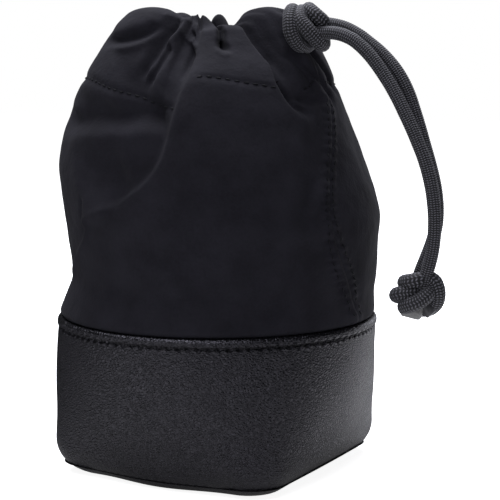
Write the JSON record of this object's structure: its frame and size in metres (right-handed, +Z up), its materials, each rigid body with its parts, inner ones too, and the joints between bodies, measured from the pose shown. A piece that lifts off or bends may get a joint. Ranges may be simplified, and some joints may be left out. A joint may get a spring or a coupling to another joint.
{
  "type": "drawstring lens pouch",
  "caption": "Padded drawstring pouch with a square leather base, a gathered nylon upper and a braided cord with a sliding cinch knot at the mouth and an end knot on its tails.",
  "frame": {"origin": "middle of the underside, on the surface the pouch stands on", "axes": "+Z up through the mouth, -Y out of the front face, +X towards the side seam where the cord leaves"},
  "size_m": [0.1237, 0.0976, 0.1387],
  "materials": {
    "nylon": "matte",
    "foam": "matte",
    "leather": "satin",
    "board": "matte",
    "lining": "matte",
    "thread": "matte",
    "cord": "matte",
    "fused": "satin"
  },
  "bodies": {
    "pouch": {"nylon_front": "nylon", "nylon_back": "nylon", "casing_front": "nylon", "casing_back": "nylon", "foam_front": "foam", "foam_back": "foam", "seam_tape_right": "nylon", "seam_tape_left": "nylon", "leather_wall": "leather", "leather_bottom": "leather", "stiffener_board": "board", "floor_foam": "foam", "lining_floor": "lining", "wall_foam": "foam", "lining_sleeve": "lining", "edge_thread": "thread", "foot_thread": "thread", "casing_thread_front": "thread", "casing_thread_back": "thread", "seam_thread_right_1": "thread", "seam_thread_right_2": "thread", "seam_thread_left_1": "thread", "seam_thread_left_2": "thread", "drawcord_loop": "cord", "lead_a": "cord", "lead_b": "cord"},
    "knot": {"cinch_knot": "cord"},
    "neck": {"neck_a": "cord", "neck_b": "cord"},
    "tail": {"tail_a": "cord", "tail_b": "cord", "end_knot": "cord", "tip_a": "fused", "tip_b": "fused"}
  },
  "joints": [
    {"name": "knot_slide", "type": "slide", "parent": "pouch", "child": "knot", "axis": [1, 0, 0], "range_m": [0, 0.005]},
    {"name": "cord_draw", "type": "slide", "parent": "pouch", "child": "neck", "axis": [1, 0, 0], "range_m": [0, 0.007]},
    {"name": "tail_swing", "type": "hinge", "parent": "neck", "child": "tail", "pos_m": [0.0343, -0.005, 0.1316], "axis": [1, 0, 0], "range_deg": [-60, 60]}
  ]
}
